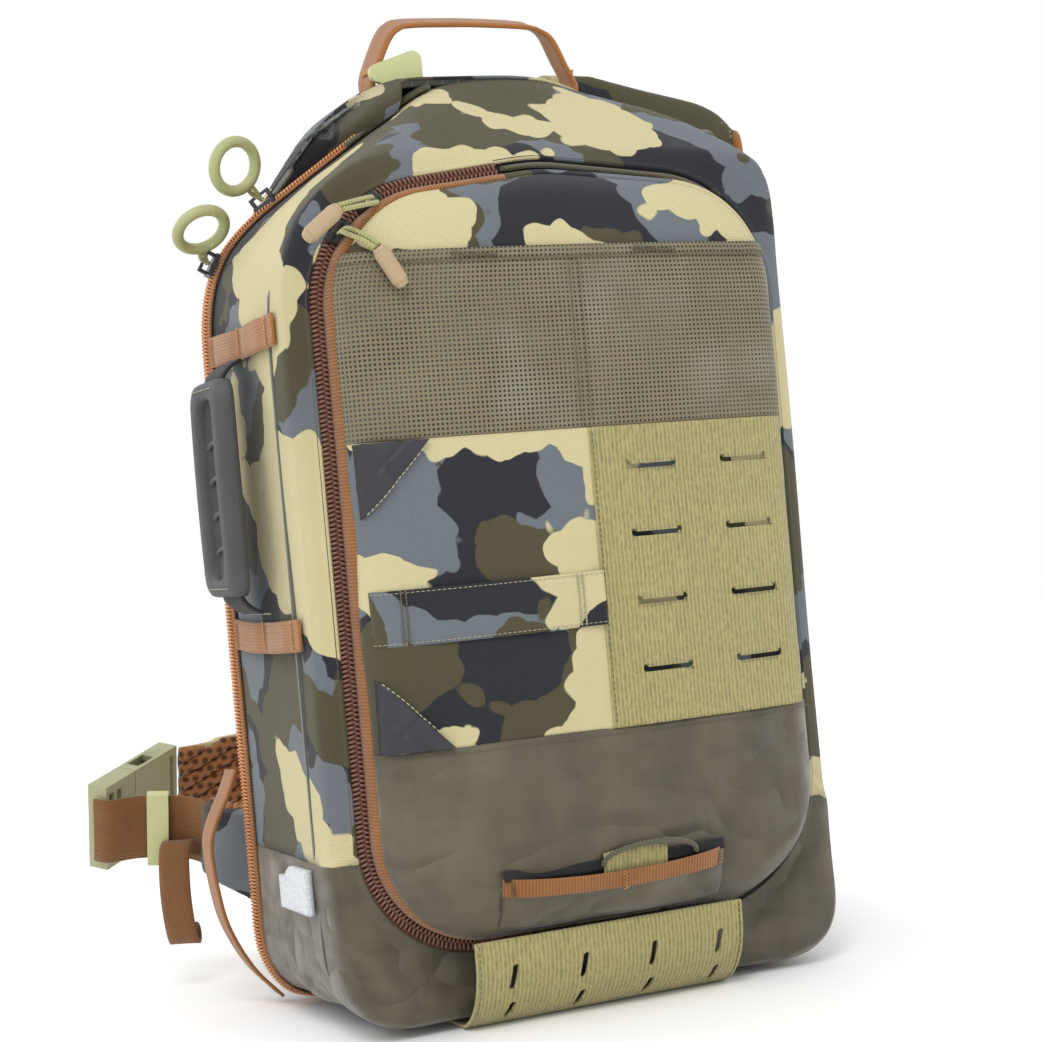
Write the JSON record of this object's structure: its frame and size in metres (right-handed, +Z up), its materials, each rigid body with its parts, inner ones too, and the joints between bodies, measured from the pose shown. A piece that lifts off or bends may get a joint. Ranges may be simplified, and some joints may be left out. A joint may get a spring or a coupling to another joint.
{
  "type": "tackle backpack",
  "caption": "One-strap fishing tackle pack with a side-opening main compartment, a zipped organiser flap, webbing slot panels, a moulded side grip and a buckled hip belt.",
  "frame": {"origin": "centre of the flat base, on the surface that the pack stands on", "axes": "+Z up along the pack, -Y out of the organiser flap, +X away from the zip side"},
  "size_m": [0.3891, 0.3437, 0.522],
  "materials": {
    "camo_fabric": "twill, printed woodland blobs in cream, slate, charcoal and olive",
    "dark_fabric": "black coated cloth",
    "nylon": "satin dark olive nylon",
    "copper_webbing": "ribbed nylon webbing",
    "zip_tape": "coil zip on woven tape",
    "khaki_laminate": "ribbed laminate with laser-cut slots",
    "mesh_fabric": "open knitted mesh",
    "air_mesh": "copper spacer mesh",
    "buckle_plastic": "moulded acetal",
    "slider_metal": "black painted die casting",
    "grip_rubber": "dark moulded rubber",
    "pull_rubber": "soft moulded rubber",
    "cord": "braided cord",
    "elastic": "khaki elastic",
    "reflective": "grey reflective film",
    "sheet_plastic": "thin polyethylene sheet",
    "foam": "closed-cell foam"
  },
  "bodies": {
    "harness": {"rear_shell": "camo_fabric", "frame_sheet": "sheet_plastic", "back_pad": "air_mesh", "lumbar_pad": "air_mesh", "main_zip_rear": "zip_tape", "strap_root": "camo_fabric", "lower_side_strap": "copper_webbing", "handle_feet": "copper_webbing", "handle_tab": "pull_rubber"},
    "front": {"front_shell": "camo_fabric", "divider_wall": "dark_fabric", "base_foam": "foam", "main_zip_front": "zip_tape", "top_yoke": "camo_fabric", "base_panel": "khaki_laminate", "lower_panels": "nylon", "side_loops_left": "copper_webbing", "side_loops_right": "copper_webbing", "reflective_patch": "reflective", "front_zip_inner": "zip_tape", "flap_hinge_strip": "dark_fabric", "inner_mesh_pocket": "mesh_fabric", "grip_tabs": "grip_rubber"},
    "grip": {"side_grip": "grip_rubber"},
    "flap": {"flap_shell": "camo_fabric", "front_zip_outer": "zip_tape", "mesh_pocket": "mesh_fabric", "camo_pocket": "camo_fabric", "corner_tucks": "dark_fabric", "daisy_strap": "camo_fabric", "molle_panel": "khaki_laminate", "nylon_band": "nylon", "lower_pocket": "nylon", "pocket_trim": "copper_webbing", "label_tab": "nylon"},
    "main_slider_a": {"main_slider_upper": "slider_metal"},
    "main_slider_b": {"main_slider_lower": "slider_metal"},
    "main_pull_a": {"main_pull_upper": "cord", "main_ring_upper": "pull_rubber"},
    "main_pull_b": {"main_pull_lower": "cord", "main_ring_lower": "pull_rubber"},
    "front_slider_a": {"front_slider_upper": "slider_metal"},
    "front_slider_b": {"front_slider_lower": "slider_metal"},
    "front_pull_a": {"front_pull_upper": "cord", "front_end_upper": "pull_rubber"},
    "front_pull_b": {"front_pull_lower": "cord", "front_end_lower": "pull_rubber"},
    "handle": {"haul_handle": "copper_webbing"},
    "strap": {"strap_pad": "camo_fabric", "strap_lining": "air_mesh"},
    "belt": {"belt_wing_near": "camo_fabric", "belt_wing_far": "camo_fabric", "belt_linings": "air_mesh", "belt_webbing": "copper_webbing", "buckle_female": "buckle_plastic"},
    "male": {"buckle_male": "buckle_plastic"},
    "prong_a": {"buckle_prong_upper": "buckle_plastic"},
    "prong_b": {"buckle_prong_lower": "buckle_plastic"},
    "keeper": {"belt_keeper": "elastic"},
    "tail": {"webbing_tail": "copper_webbing"}
  },
  "joints": [
    {"name": "main_opening", "type": "hinge", "parent": "harness", "child": "front", "pos_m": [0.146, 0.06, 0.25], "axis": [0, 0, 1], "range_deg": [0, 70]},
    {"name": "flap_opening", "type": "hinge", "parent": "front", "child": "flap", "pos_m": [0.1216, -0.08, 0.25], "axis": [0, 0, 1], "range_deg": [0, 80]},
    {"name": "grip_lift", "type": "slide", "parent": "front", "child": "grip", "axis": [-1, 0, 0], "range_m": [0, 0.008], "stiffness_N_per_m": 200},
    {"name": "main_slider_a_run", "type": "slide", "parent": "harness", "child": "main_slider_a", "axis": [0.7365, -0.4138, 0.5351], "range_m": [0, 0.03]},
    {"name": "main_slider_b_run", "type": "hinge", "parent": "harness", "child": "main_slider_b", "pos_m": [-0.052, 0.06, 0.35], "axis": [0, -1, 0], "range_deg": [0, 20]},
    {"name": "main_pull_a_swing", "type": "hinge", "parent": "main_slider_a", "child": "main_pull_a", "pos_m": [-0.11072, 0.0436, 0.43082], "axis": [0, 1, 0], "range_deg": [-10, 12]},
    {"name": "main_pull_b_swing", "type": "hinge", "parent": "main_slider_b", "child": "main_pull_b", "pos_m": [-0.13852, 0.06, 0.39995], "axis": [0, 1, 0], "range_deg": [-25, 15]},
    {"name": "front_slider_a_run", "type": "hinge", "parent": "flap", "child": "front_slider_a", "pos_m": [-0.061, -0.0682, 0.356], "axis": [0, 1, 0], "range_deg": [0, 24]},
    {"name": "front_slider_b_run", "type": "hinge", "parent": "flap", "child": "front_slider_b", "pos_m": [-0.061, -0.0682, 0.356], "axis": [0, -1, 0], "range_deg": [0, 38]},
    {"name": "front_pull_a_swing", "type": "hinge", "parent": "front_slider_a", "child": "front_pull_a", "pos_m": [-0.09412, -0.0738, 0.409], "axis": [0, 1, 0], "range_deg": [-5, 30]},
    {"name": "front_pull_b_swing", "type": "hinge", "parent": "front_slider_b", "child": "front_pull_b", "pos_m": [-0.11025, -0.0738, 0.39448], "axis": [0, 1, 0], "range_deg": [-15, 30]},
    {"name": "handle_fold", "type": "hinge", "parent": "harness", "child": "handle", "pos_m": [0.008, 0.0255, 0.501], "axis": [1, 0, 0], "range_deg": [-40, 18]},
    {"name": "strap_swing", "type": "hinge", "parent": "harness", "child": "strap", "pos_m": [0.11, 0.0995, 0.474], "axis": [1, 0, 0], "range_deg": [0, 45]},
    {"name": "belt_fold", "type": "hinge", "parent": "harness", "child": "belt", "pos_m": [0, 0.096, 0.075], "axis": [1, 0, 0], "range_deg": [-15, 1]},
    {"name": "buckle_release", "type": "slide", "parent": "belt", "child": "male", "axis": [-0.7314, -0.6522, -0.1994], "range_m": [0, 0.035]},
    {"name": "prong_a_press", "type": "slide", "parent": "male", "child": "prong_a", "axis": [0, 0.2924, -0.9563], "range_m": [0, 0.0035], "stiffness_N_per_m": 400},
    {"name": "prong_b_press", "type": "slide", "parent": "male", "child": "prong_b", "axis": [0, -0.2924, 0.9563], "range_m": [0, 0.0035], "stiffness_N_per_m": 400},
    {"name": "keeper_slide", "type": "slide", "parent": "belt", "child": "keeper", "axis": [0.9489, -0.3019, -0.0923], "range_m": [0, 0.003]},
    {"name": "tail_swing", "type": "hinge", "parent": "belt", "child": "tail", "pos_m": [-0.167, 0.135, 0.078], "axis": [0, 1, 0], "range_deg": [0, 20]}
  ],
  "couplings": [
    {"joint": "prong_b_press", "follows": "prong_a_press", "ratio": 1}
  ]
}
